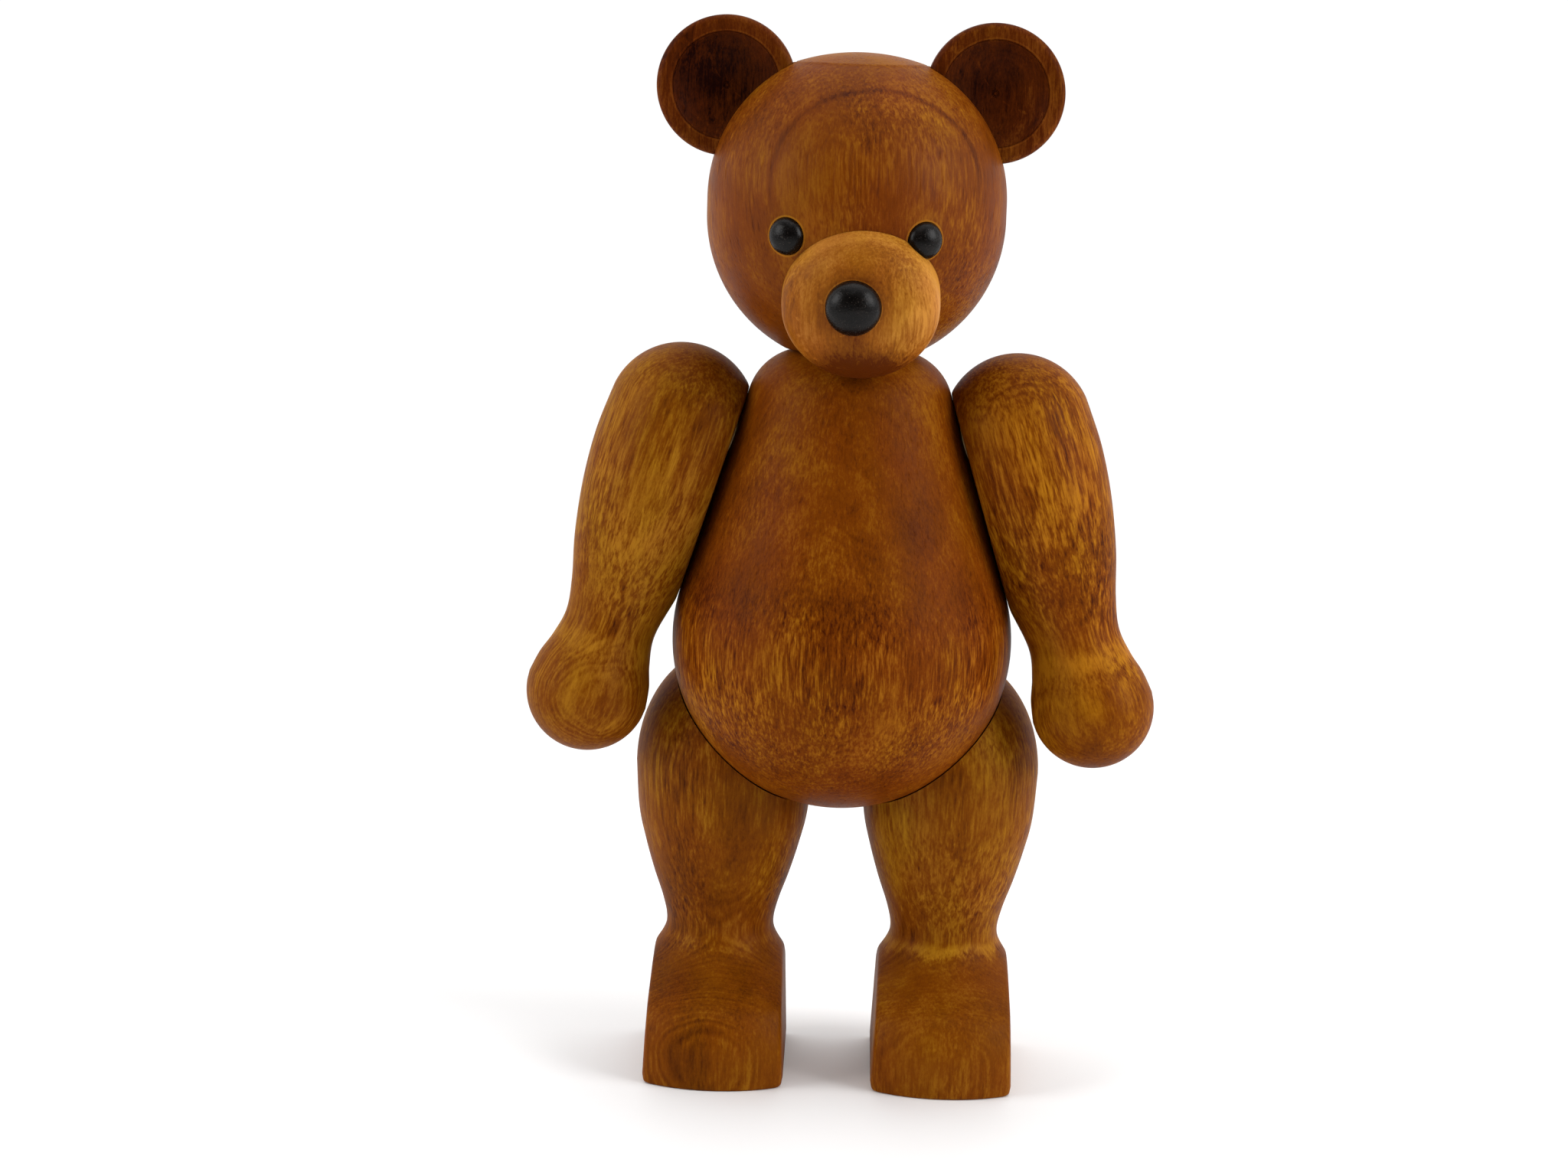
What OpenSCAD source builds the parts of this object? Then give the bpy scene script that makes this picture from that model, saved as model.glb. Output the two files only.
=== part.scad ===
// Jointed wooden teddy bear, turned on a lathe and strung on elastic cord.
// The bear stands on the plane Z = 0 and faces -Y. Its own left side is +X. Millimetres.

/* [Torso] */
// Radius of the round lower body
belly_r = 19.2; // [18.9:0.1:19.4]
// Height of the centre of the round lower body
belly_z = 50.6; // [50.4:0.1:50.9]
// Slope of the upper body, degrees from vertical
body_taper = 17.3; // [17:0.1:17.6]
// Height of the flat top of the body, where the head turns
neck_z = 83.5; // [83.3:0.1:83.7]
// Radius of the rounding round the top of the body
neck_round = 6.5; // [6:0.1:7]

/* [Head] */
// Radius of the head
head_r = 16.6; // [16.4:0.1:16.8]
// Height of the centre of the lower half of the head
head_low_z = 98.4; // [98.2:0.1:98.6]
// Height of the centre of the upper half of the head
head_high_z = 100.2; // [100:0.1:100.4]
// Radius of the fine edge round the flatter crown
crown_ring_r = 7.4; // [6:0.1:8]
// Radius of curvature of the crown inside that edge
crown_curve_r = 22; // [20:0.5:26]

/* [Ears] */
// Radius of an ear disc
ear_r = 7.7; // [7.4:0.1:8]
// Thickness of an ear disc
ear_t = 3.4; // [3:0.1:4]
// Radius of the hollow in the front of an ear
ear_dish_r = 6.0; // [5.5:0.1:6.3]
// Depth of that hollow
ear_dish_depth = 1.7; // [1:0.1:2]
// Distance of an ear's centre from the middle of the head
ear_x = 14.8; // [14.5:0.1:15]
// Height of an ear's centre
ear_z = 112.3; // [112:0.1:112.5]

/* [Face] */
// Radius of the muzzle
muzzle_r = 8.55; // [8.4:0.05:8.65]
// Height of the muzzle's dome
muzzle_h = 5.2; // [4.8:0.1:5.6]
// Downward tilt of the muzzle, in degrees
muzzle_tilt = 24.5; // [24:0.5:25]
// Height of the centre of the muzzle's rim
muzzle_z = 89.7; // [89.5:0.1:89.9]
// Reach of the centre of the muzzle's rim in front of the neck
muzzle_y = 13.9; // [13.8:0.1:14.2]
// Distance of the muzzle's centre to the bear's left of the middle of the face
muzzle_side = 0.8; // [0:0.1:0.9]
// Diameter of the nose
nose_d = 6; // [5:0.1:6.5]
// Diameter of an eye
eye_d = 4; // [3.5:0.1:4.5]
// Distance of an eye from the middle of the face
eye_x = 7.45; // [7.3:0.05:8]
// Height of the eyes
eye_z = 96.9; // [96.8:0.1:97.4]

/* [Arms] */
// Radius of the shoulder end of an arm
arm_r = 8.4; // [8.2:0.1:8.6]
// Radius of the ball hand
hand_r = 6.9; // [6.7:0.1:7.1]
// Distance from the shoulder's centre to the hand's centre
arm_len = 32.5; // [32:0.1:34]
// Distance from an arm's own axis to its flat inner face
arm_flat = 6; // [5.8:0.1:6.2]
// Height of the shoulder centres
shoulder_z = 75.3; // [75:0.1:75.6]
// Forward swing of the arms at rest, in degrees
arm_swing = 6; // [0:1:12]

/* [Legs] */
// Distance of a leg's own axis from the middle of the bear
leg_x = 13; // [12.8:0.1:13.2]
// Distance of the legs' axes behind the body's axis
leg_back = 4; // [3.5:0.1:4.5]
// Greatest radius of the thigh
thigh_r = 10.15; // [9.9:0.05:10.3]
// Radius of the ankle
ankle_r = 6.2; // [6:0.1:6.4]
// Reach of the toe in front of the leg's axis
toe_reach = 15; // [14:0.5:15.5]
// Reach of the heel behind the leg's axis
heel_reach = 8; // [7.5:0.5:9]
// Half of the foot's width at the sole
foot_half = 8.05; // [7.9:0.05:8.2]
// Tilt of the hip pegs from vertical, in degrees
hip_tilt = 42; // [40:1:43]

/* [Joints] */
// Diameter of the joint pegs
peg_d = 4; // [3.8:0.1:4.2]
// Diameter of the elastic cord
cord_d = 1.2; // [1:0.1:1.3]
// Gap between two pieces that move past each other
joint_gap = 0.15; // [0.12:0.01:0.2]
// Gap round a peg that turns in its hole
peg_gap = 0.05; // [0.03:0.01:0.08]

/* [Hidden] */
$fn = 96;
far = 60;  // reaches past the whole bear in a cutting solid

wood = [0.60, 0.34, 0.12];
pale_wood = [0.74, 0.48, 0.24];
dark_wood = [0.36, 0.17, 0.06];
beech = [0.80, 0.66, 0.46];
black = [0.05, 0.05, 0.055];
rubber = [0.88, 0.86, 0.80];

// Body outline: the cone touches the belly's circle and the rounding at its top.
cone_r = belly_r * cos(body_taper);
cone_z = belly_z + belly_r * sin(body_taper);
round_z = neck_z - neck_round;
round_r = cone_r - (round_z - cone_z) * tan(body_taper) - neck_round / cos(body_taper);
function body_cone_r(z) = cone_r - (z - cone_z) * tan(body_taper);

// Shoulder: the flat of the arm runs along the cone with a small gap.
shoulder_x = body_cone_r(shoulder_z) + (arm_flat + joint_gap) / cos(body_taper);

// Nose: it stands square on the muzzle's dome, in the middle of the face.
nose_up = 2.4;
nose_out = muzzle_h * sqrt(1 - pow(nose_up / muzzle_r, 2));
nose_lift = atan(muzzle_h * nose_up / (muzzle_r * muzzle_r * nose_out / muzzle_h));
nose_tilt = muzzle_tilt - nose_lift;
nose_sink = 0.5;
nose_proud = 2.1;
nose_stem = 1.5;
nose_y = muzzle_y + nose_out * cos(muzzle_tilt) + nose_up * sin(muzzle_tilt);
nose_z = muzzle_z - nose_out * sin(muzzle_tilt) + nose_up * cos(muzzle_tilt);

// Eyes: domed pegs whose domes start just under the surface of the head
eye_proud = 1.2;
eye_edge = 0.1;
eye_depth = 4.8;

// The bear's own axis lies this far behind the origin, so that the origin is
// below the middle of the whole bear.
nose_tip = nose_y + nose_proud * cos(nose_tilt);
axis_y = (nose_tip - belly_r) / 2;

// Muzzle and its seat in the head
muzzle_sunk = 2.4;
glue_gap = 0.03;
dowel_d = 3;
dowel_in_head = 5;
dowel_in_muzzle = 2.8;
end_gap = 0.1;

// Joint pegs: a blind hole in the limb holds the peg and, past its end, the cord's knot.
cord_hole_d = cord_d + 0.6;
knot_d = 2.6;
knot_room = 3;
peg_in_body = 7;
peg_in_arm = 6;
peg_in_leg = 4;
peg_in_head = 8;
knot_gap = 0.1;

// Cords: the neck cord's loop round the shoulder cord, and the room where they loop and bend
loop_r = 1.3;
loop_room = 2.2;
bend_room = 1;
shoulder_mid_z = shoulder_z - shoulder_x * tan(body_taper);

// A point on a smooth curve between p1 and p2 that heads for its neighbours p0 and p3
function between(p0, p1, p2, p3, t) =
    0.5 * (2 * p1 + (p2 - p0) * t + (2 * p0 - 5 * p1 + 4 * p2 - p3) * t * t
    + (3 * p1 - p0 - 3 * p2 + p3) * t * t * t);
function curve(p, n) = [
    for (i = [0 : len(p) - 2])
        for (k = [0 : n - 1])
            between(p[max(i - 1, 0)], p[i], p[i + 1], p[min(i + 2, len(p) - 1)], k / n),
    p[len(p) - 1]];
function arc(cx, cy, rx, ry, from, to, n) =
    [for (k = [0 : n]) let (a = from + (to - from) * k / n) [cx + rx * cos(a), cy + ry * sin(a)]];

// Arm outline, from the shoulder's dome at the top to the ball hand below
arm_outline = concat(
    arc(0, 0, arm_r, arm_r, 90, 9, 8),
    curve([[arm_r, 0], [arm_r + 0.2, -4.5], [arm_r - 0.2, -10], [7.15, -16], [5.8, -21],
        [5.2, -24.6], [5.7, -27.6], [6.5, 2.4 - arm_len], [hand_r, -arm_len]], 3),
    arc(0, -arm_len, hand_r, hand_r, -9, -90, 8));

// The flat inner face ends at the wrist, so that the hand is a whole ball
arm_flat_end = 24;

// Leg outline, from the turned foot up past the ankle to the dome of the thigh
thigh_z = 35;
thigh_dome = 13.3;
leg_outline = concat(
    [[0, 0]],
    curve([[toe_reach - 0.3, 0], [toe_reach, 2.5], [toe_reach - 0.1, 5.5], [13.6, 8.6], [10.6, 10.8],
        [8, 12.8], [6.55, 14.8], [ankle_r, 16.5], [6.75, 19], [7.85, 22.2], [8.9, 25.8],
        [9.75, 29.6], [thigh_r, thigh_z]], 3),
    arc(0, thigh_z, thigh_r, thigh_dome, 6, 90, 10));
foot_side_slope = 2.4;
foot_cut_z = 16;

// Half of a symmetric outline, on the right of its axis
module half() {
    intersection() {
        translate([0, -far]) square([far, 4 * far]);
        children();
    }
}

module body_outline() {
    half() {
        translate([0, belly_z]) circle(belly_r, $fn = 128);
        polygon([[0, belly_z], [cone_r, cone_z],
            [round_r + neck_round * cos(body_taper), round_z + neck_round * sin(body_taper)],
            [0, round_z + neck_round * sin(body_taper)]]);
        translate([round_r, round_z]) circle(neck_round);
        translate([0, round_z]) square([round_r, neck_round]);
    }
}

module head_outline() {
    crown_z = head_high_z + sqrt(head_r * head_r - crown_ring_r * crown_ring_r);
    half() intersection() {
        union() {
            translate([0, head_low_z]) circle(head_r, $fn = 128);
            translate([0, head_high_z]) circle(head_r, $fn = 128);
            translate([-head_r, head_low_z]) square([2 * head_r, head_high_z - head_low_z]);
        }
        translate([0, crown_z - sqrt(pow(crown_curve_r, 2) - pow(crown_ring_r, 2))])
            circle(crown_curve_r, $fn = 128);
        translate([-far, neck_z + joint_gap]) square([2 * far, far]);
    }
}

// Places: each puts its children, made about their own axis, where they belong on the bear.
// side is 1 for the bear's left and -1 for its right.
module on_side(side) {
    if (side > 0) children();
    else mirror([1, 0, 0]) children();
}

module at_axis() {
    translate([0, axis_y, 0]) children();
}

module at_muzzle() {
    at_axis() translate([muzzle_side, -muzzle_y, muzzle_z]) rotate([90 + muzzle_tilt, 0, 0])
        children();
}

module at_nose() {
    at_axis() translate([0, -nose_y, nose_z]) rotate([90 + nose_tilt, 0, 0]) children();
}

// Outward along +Z from the surface of the head at an eye
module at_eye() {
    eye_y = sqrt(pow(head_r, 2) - pow(head_low_z - eye_z, 2) - eye_x * eye_x);
    turn = atan2(eye_x, eye_y);
    dip = asin((head_low_z - eye_z) / head_r);
    at_axis() translate([eye_x, -eye_y, eye_z]) rotate([0, 0, turn]) rotate([90 + dip, 0, 0])
        children();
}

module at_ear() {
    at_axis() translate([ear_x, 0, ear_z]) rotate([90, 0, 0]) children();
}

module at_shoulder() {
    at_axis() translate([shoulder_x, 0, shoulder_z]) rotate([0, -body_taper, 0])
        rotate([-arm_swing, 0, 0]) children();
}

// Along +Z from the middle of the body out through a shoulder peg
module at_shoulder_peg() {
    at_axis() translate([0, 0, shoulder_mid_z]) rotate([0, 90 - body_taper, 0]) children();
}

// Along +Z from the belly's centre out and down through a hip peg
module at_hip_peg() {
    at_axis() translate([0, 0, belly_z]) rotate([0, 180 - hip_tilt, 0]) children();
}

// Distances along the peg axes from those middles
shoulder_face = shoulder_x / cos(body_taper) - arm_flat;
hip_face = belly_r + joint_gap;

module rod(d, from, to) {
    translate([0, 0, from]) cylinder(d = d, h = to - from);
}

module peg(from, to) {
    difference() {
        rod(peg_d, from, to);
        rod(cord_hole_d, from - 1, to + 1);
    }
}

module body() {
    color(wood) difference() {
        at_axis() rotate_extrude() body_outline();
        for (side = [-1, 1]) on_side(side) {
            at_shoulder_peg() rod(peg_d + 2 * peg_gap, 0, far);
            at_hip_peg() rod(peg_d + 2 * peg_gap, -bend_room, far);
        }
        at_axis() rod(peg_d + 2 * peg_gap, shoulder_mid_z - loop_room, neck_z + 1);
    }
}

module head() {
    color(wood) difference() {
        at_axis() rotate_extrude() head_outline();
        at_muzzle() {
            rod(2 * (muzzle_r + glue_gap), -muzzle_sunk - glue_gap, far);
            rod(dowel_d + 2 * glue_gap, -muzzle_sunk - dowel_in_head - end_gap, 0);
        }
        for (side = [-1, 1]) on_side(side) {
            at_ear() rod(2 * (ear_r + glue_gap), -ear_t / 2 - glue_gap, ear_t / 2 + glue_gap);
            at_eye() rod(eye_d + 2 * glue_gap, -eye_depth - end_gap, far);
        }
        at_axis() rod(peg_d + 2 * glue_gap, neck_z - 1, neck_z + joint_gap + peg_in_head + knot_room);
    }
}

// A turned disc with a rounded rim and a dished front
module ear(side) {
    rim = 0.8;
    dish_curve_r = (ear_dish_r * ear_dish_r + ear_dish_depth * ear_dish_depth) / (2 * ear_dish_depth);
    color(dark_wood) on_side(side) at_ear() rotate_extrude() difference() {
        half() {
            translate([0, -ear_t / 2]) square([ear_r - rim, ear_t]);
            translate([0, -ear_t / 2 + rim]) square([ear_r, ear_t - 2 * rim]);
            for (z = [-1, 1]) translate([ear_r - rim, z * (ear_t / 2 - rim)]) circle(rim);
        }
        translate([0, ear_t / 2 - ear_dish_depth + dish_curve_r]) circle(dish_curve_r, $fn = 128);
    }
}

module muzzle() {
    dome = arc(0, 0, muzzle_r, muzzle_h, 0, 90, 14);
    color(pale_wood) difference() {
        at_muzzle() rotate_extrude() polygon(concat([[0, -muzzle_sunk], [muzzle_r, -muzzle_sunk]], dome));
        at_muzzle() rod(dowel_d + 2 * glue_gap, -muzzle_sunk - 1, dowel_in_muzzle - muzzle_sunk + end_gap);
        at_nose() {
            rod(nose_d + 2 * glue_gap, -nose_sink, far);
            rod(dowel_d / 2 + 2 * glue_gap, -nose_sink - nose_stem - end_gap, 0);
        }
        at_axis() rotate_extrude() body_clearance();
    }
}

// The body's outline grown by the joint gap: the muzzle's lower edge passes over it
module body_clearance() {
    half() {
        translate([round_r, round_z]) circle(neck_round + 2 * joint_gap);
        translate([0, round_z]) square([round_r, neck_round + 2 * joint_gap]);
    }
}

module muzzle_dowel() {
    color(beech) at_muzzle() rod(dowel_d, -muzzle_sunk - dowel_in_head, dowel_in_muzzle - muzzle_sunk);
}

module nose() {
    bead_r = nose_d / 2;
    color(black) at_nose() {
        rotate_extrude() polygon(concat([[0, -nose_sink], [bead_r, -nose_sink]],
            arc(0, 0, bead_r, nose_proud, 0, 90, 12)));
        rod(dowel_d / 2, -nose_sink - nose_stem, -nose_sink);
    }
}

// A domed peg, trimmed by the seat of the muzzle where they meet
module eye(side) {
    bead_r = eye_d / 2;
    dome = arc(0, -eye_edge, bead_r, eye_proud + eye_edge, 0, 90, 10);
    color(black) difference() {
        on_side(side) at_eye() rotate_extrude()
            polygon(concat([[0, -eye_depth], [bead_r, -eye_depth]], dome));
        at_muzzle() rod(2 * (muzzle_r + glue_gap), -muzzle_sunk - glue_gap, far);
    }
}

module arm(side) {
    color(wood) on_side(side) difference() {
        at_shoulder() difference() {
            rotate_extrude() polygon(arm_outline);
            translate([-arm_flat - far, -far, -arm_flat_end]) cube([far, 2 * far, far]);
        }
        at_shoulder_peg() rod(peg_d + 2 * glue_gap, 0, shoulder_face + peg_in_arm + knot_room);
    }
}

module leg(side) {
    color(wood) on_side(side) difference() {
        at_axis() translate([leg_x, leg_back, 0]) difference() {
            rotate_extrude() polygon(leg_outline);
            for (x = [-1, 1]) translate([x * foot_half, 0, 0]) rotate([0, -x * foot_side_slope, 0])
                translate([x > 0 ? 0 : -far, -far, -far]) cube([far, 2 * far, far + foot_cut_z]);
            translate([-far, heel_reach, -far]) cube([2 * far, far, far + foot_cut_z]);
        }
        at_axis() translate([0, 0, belly_z]) sphere(belly_r + joint_gap, $fn = 128);
        at_hip_peg() rod(peg_d + 2 * glue_gap, 0, hip_face + peg_in_leg + knot_room);
    }
}

module neck_peg() {
    color(beech) at_axis() peg(neck_z - peg_in_body, neck_z + joint_gap + peg_in_head);
}

module shoulder_peg(side) {
    color(beech) on_side(side) at_shoulder_peg()
        peg(shoulder_face - joint_gap - peg_in_body, shoulder_face + peg_in_arm);
}

module hip_peg(side) {
    color(beech) on_side(side) at_hip_peg() peg(hip_face - joint_gap - peg_in_body, hip_face + peg_in_leg);
}

// One side of a cord that bends in the middle of the body and ends in a knot inside the limb
module cord_half(reach) {
    knot_z = reach + knot_d / 2 + knot_gap;
    rod(cord_d, 0, knot_z);
    translate([0, 0, knot_z]) sphere(d = knot_d, $fn = 48);
    sphere(d = cord_d, $fn = 48);
}

// It hangs from its knot in the head and ends in a loop round the shoulder cord
module neck_elastic() {
    knot_z = neck_z + joint_gap + peg_in_head + knot_d / 2 + knot_gap;
    color(rubber) at_axis() {
        rod(cord_d, shoulder_mid_z + loop_r, knot_z);
        translate([0, 0, knot_z]) sphere(d = knot_d, $fn = 48);
        translate([0, 0, shoulder_mid_z]) rotate([0, 90, 0]) rotate_extrude()
            translate([loop_r, 0]) circle(d = cord_d, $fn = 48);
    }
}

module shoulder_elastic() {
    color(rubber) for (side = [-1, 1]) on_side(side) at_shoulder_peg() cord_half(shoulder_face + peg_in_arm);
}

module hip_elastic() {
    color(rubber) for (side = [-1, 1]) on_side(side) at_hip_peg() cord_half(hip_face + peg_in_leg);
}

body();
head();
ear(1);  // ear_left
ear(-1);  // ear_right
muzzle();
muzzle_dowel();
nose();
eye(1);  // eye_left
eye(-1);  // eye_right
arm(1);  // arm_left
arm(-1);  // arm_right
leg(1);  // leg_left
leg(-1);  // leg_right
neck_peg();
shoulder_peg(1);  // shoulder_peg_left
shoulder_peg(-1);  // shoulder_peg_right
hip_peg(1);  // hip_peg_left
hip_peg(-1);  // hip_peg_right
neck_elastic();
shoulder_elastic();
hip_elastic();
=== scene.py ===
"""Jointed wooden teddy bear. Metres, +Z up, the bear faces -Y and its left side is +X."""
import math

import bmesh
import bpy
from mathutils import Matrix, Vector


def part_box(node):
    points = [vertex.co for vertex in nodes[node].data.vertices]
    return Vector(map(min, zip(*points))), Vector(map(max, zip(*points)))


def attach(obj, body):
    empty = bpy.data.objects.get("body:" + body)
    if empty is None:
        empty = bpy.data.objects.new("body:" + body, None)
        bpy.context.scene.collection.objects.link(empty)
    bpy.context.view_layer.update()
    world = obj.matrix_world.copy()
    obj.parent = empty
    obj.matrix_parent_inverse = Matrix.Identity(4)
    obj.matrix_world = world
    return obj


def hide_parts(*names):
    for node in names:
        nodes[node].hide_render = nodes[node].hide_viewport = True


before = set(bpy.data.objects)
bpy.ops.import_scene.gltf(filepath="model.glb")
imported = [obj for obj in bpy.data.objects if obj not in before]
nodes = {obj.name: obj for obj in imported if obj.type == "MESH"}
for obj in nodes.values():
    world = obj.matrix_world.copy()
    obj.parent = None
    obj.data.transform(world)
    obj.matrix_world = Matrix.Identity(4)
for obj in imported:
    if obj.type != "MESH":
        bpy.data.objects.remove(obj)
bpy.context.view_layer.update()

MM = 0.001

# ---- Dimensions in millimetres, as in the CAD ----
BELLY_R, BELLY_Z, BODY_TAPER = 19.2, 50.6, 17.3
NECK_Z, NECK_ROUND = 83.5, 6.5
HEAD_R, HEAD_LOW_Z, HEAD_HIGH_Z = 16.6, 98.4, 100.2
CROWN_RING_R, CROWN_CURVE_R = 7.4, 22.0
EAR_R, EAR_T, EAR_RIM, EAR_DISH_R, EAR_DISH_DEPTH = 7.7, 3.4, 0.8, 6.0, 1.7
EAR_X, EAR_Z = 14.8, 112.3
MUZZLE_R, MUZZLE_H, MUZZLE_TILT, MUZZLE_Z, MUZZLE_Y = 8.55, 5.2, 24.5, 89.7, 13.9
MUZZLE_SIDE, MUZZLE_SUNK = 0.8, 2.4
NOSE_D, NOSE_UP, NOSE_SINK, NOSE_PROUD = 6.0, 2.4, 0.5, 2.1
EYE_D, EYE_X, EYE_Z, EYE_PROUD, EYE_LONG = 4.0, 7.45, 96.9, 1.2, 4.8
ARM_R, HAND_R, ARM_LEN, ARM_FLAT, ARM_FLAT_END = 8.4, 6.9, 32.5, 6.0, 24.0
SHOULDER_Z, ARM_SWING = 75.3, 6.0
LEG_X, LEG_BACK, THIGH_R, THIGH_Z, THIGH_DOME = 13.0, 4.0, 10.15, 35.0, 13.3
ANKLE_R, TOE_REACH, HEEL_REACH, FOOT_HALF = 6.2, 15.0, 8.0, 8.05
FOOT_SLOPE, FOOT_CUT_Z, HIP_TILT = 2.4, 16.0, 42.0
PEG_D, JOINT_GAP, GLUE_GAP, PEG_GAP = 4.0, 0.15, 0.03, 0.05
DOWEL_D = 3.0

# Only for the looks: the gap left between arm and body, the broken edges of holes, the ring of
# stain round an eye, how sharp the sawn edges are (a higher power is sharper), and the angle from
# which an edge is shaded sharp
ARM_TOUCH = 0.004
EYE_HOLE_EDGE, NOSE_HOLE_EDGE = 0.16, 0.12
EYE_STAIN_R = 2.14
FLAT_POWER, FOOT_POWER = 60, 40
SHARP_DEGREES = 38

TAPER = math.radians(BODY_TAPER)
CONE_R = BELLY_R * math.cos(TAPER)
CONE_Z = BELLY_Z + BELLY_R * math.sin(TAPER)
ROUND_Z = NECK_Z - NECK_ROUND
ROUND_R = CONE_R - (ROUND_Z - CONE_Z) * math.tan(TAPER) - NECK_ROUND / math.cos(TAPER)
SHOULDER_X = (CONE_R - (SHOULDER_Z - CONE_Z) * math.tan(TAPER)
              + (ARM_FLAT + JOINT_GAP) / math.cos(TAPER))
SHOULDER_MID_Z = SHOULDER_Z - SHOULDER_X * math.tan(TAPER)

NOSE_OUT = MUZZLE_H * math.sqrt(1 - (NOSE_UP / MUZZLE_R) ** 2)
NOSE_LIFT = math.degrees(math.atan(MUZZLE_H * NOSE_UP / (MUZZLE_R ** 2 * NOSE_OUT / MUZZLE_H)))
NOSE_TILT = MUZZLE_TILT - NOSE_LIFT


def spin(axis, degrees):
    return Matrix.Rotation(math.radians(degrees), 4, axis)


def shift(x, y, z):
    return Matrix.Translation((x, y, z))


# The bear's own axis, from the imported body: it lies a little behind the origin.
body_low, body_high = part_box("body")
AXIS_Y = (body_low.y + body_high.y) / 2 / MM
AT_AXIS = shift(0, AXIS_Y, 0)
MIRROR = Matrix.Diagonal((-1, 1, 1, 1))

AT_MUZZLE = AT_AXIS @ shift(MUZZLE_SIDE, -MUZZLE_Y, MUZZLE_Z) @ spin("X", 90 + MUZZLE_TILT)
nose_y = (MUZZLE_Y + NOSE_OUT * math.cos(math.radians(MUZZLE_TILT))
          + NOSE_UP * math.sin(math.radians(MUZZLE_TILT)))
nose_z = (MUZZLE_Z - NOSE_OUT * math.sin(math.radians(MUZZLE_TILT))
          + NOSE_UP * math.cos(math.radians(MUZZLE_TILT)))
AT_NOSE = AT_AXIS @ shift(0, -nose_y, nose_z) @ spin("X", 90 + NOSE_TILT)
eye_drop = HEAD_LOW_Z - EYE_Z
eye_y = math.sqrt(HEAD_R ** 2 - eye_drop ** 2 - EYE_X ** 2)
AT_EYE = (AT_AXIS @ shift(EYE_X, -eye_y, EYE_Z)
          @ spin("Z", math.degrees(math.atan2(EYE_X, eye_y)))
          @ spin("X", 90 + math.degrees(math.asin(eye_drop / HEAD_R))))
AT_EAR = AT_AXIS @ shift(EAR_X, 0, EAR_Z) @ spin("X", 90)
AT_SHOULDER = (AT_AXIS @ shift(SHOULDER_X, 0, SHOULDER_Z) @ spin("Y", -BODY_TAPER)
               @ spin("X", -ARM_SWING))
AT_SHOULDER_PEG = AT_AXIS @ shift(0, 0, SHOULDER_MID_Z) @ spin("Y", 90 - BODY_TAPER)
AT_LEG = AT_AXIS @ shift(LEG_X, LEG_BACK, 0)
AT_BELLY = AT_AXIS @ shift(0, 0, BELLY_Z)
AT_HIP_PEG = AT_BELLY @ spin("Y", 180 - HIP_TILT)


# ---- Outlines: lists of (radius, height) from the bottom of the axis to its top ----
def between(p0, p1, p2, p3, t):
    return tuple(
        0.5 * (2 * b + (c - a) * t + (2 * a - 5 * b + 4 * c - d) * t * t
               + (3 * b - a - 3 * c + d) * t * t * t)
        for a, b, c, d in zip(p0, p1, p2, p3))


def curve(points, steps):
    out = []
    last = len(points) - 1
    for i in range(last):
        for k in range(steps):
            out.append(between(points[max(i - 1, 0)], points[i], points[i + 1],
                               points[min(i + 2, last)], k / steps))
    return out + [tuple(points[-1])]


def arc(cx, cy, rx, ry, start, stop, steps):
    out = []
    for k in range(steps + 1):
        a = math.radians(start + (stop - start) * k / steps)
        out.append((cx + rx * math.cos(a), cy + ry * math.sin(a)))
    return out


def line(a, b, steps):
    """Evenly spaced points from a to b, without b."""
    return [(a[0] + (b[0] - a[0]) * k / steps, a[1] + (b[1] - a[1]) * k / steps)
            for k in range(steps)]


def body_outline():
    touch = math.degrees(TAPER)
    neck = (ROUND_R + NECK_ROUND * math.cos(TAPER), ROUND_Z + NECK_ROUND * math.sin(TAPER))
    belly = arc(0, BELLY_Z, BELLY_R, BELLY_R, -90, touch, 90)
    return (belly[:-1] + line((CONE_R, CONE_Z), neck, 40)
            + arc(ROUND_R, ROUND_Z, NECK_ROUND, NECK_ROUND, touch, 90, 24)[:-1]
            + line((ROUND_R, NECK_Z), (0, NECK_Z), 8) + [(0, NECK_Z)])


def head_outline():
    """Two balls joined by a short wall, on a flat base. A fine line rings the flatter crown."""
    base_z = NECK_Z + JOINT_GAP
    base_r = math.sqrt(HEAD_R ** 2 - (HEAD_LOW_Z - base_z) ** 2)
    start = math.degrees(math.asin((base_z - HEAD_LOW_Z) / HEAD_R))
    ring = math.degrees(math.acos(CROWN_RING_R / HEAD_R))
    ring_z = HEAD_HIGH_Z + HEAD_R * math.sin(math.radians(ring))
    crown_z = ring_z - math.sqrt(CROWN_CURVE_R ** 2 - CROWN_RING_R ** 2)
    crown = math.degrees(math.acos(CROWN_RING_R / CROWN_CURVE_R))
    low = arc(0, HEAD_LOW_Z, HEAD_R, HEAD_R, start, 0, 60)
    high = arc(0, HEAD_HIGH_Z, HEAD_R, HEAD_R, 0, ring, 64)
    top = arc(0, crown_z, CROWN_CURVE_R, CROWN_CURVE_R, crown, 90, 26)
    groove = [(CROWN_RING_R + 0.10, ring_z - 0.02), (CROWN_RING_R, ring_z - 0.12),
              (CROWN_RING_R - 0.14, ring_z - 0.02)]
    return (line((0, base_z), (base_r, base_z), 10) + low[:-1]
            + line((HEAD_R, HEAD_LOW_Z), (HEAD_R, HEAD_HIGH_Z), 6)
            + high[:-1] + groove + top[1:])


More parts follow.
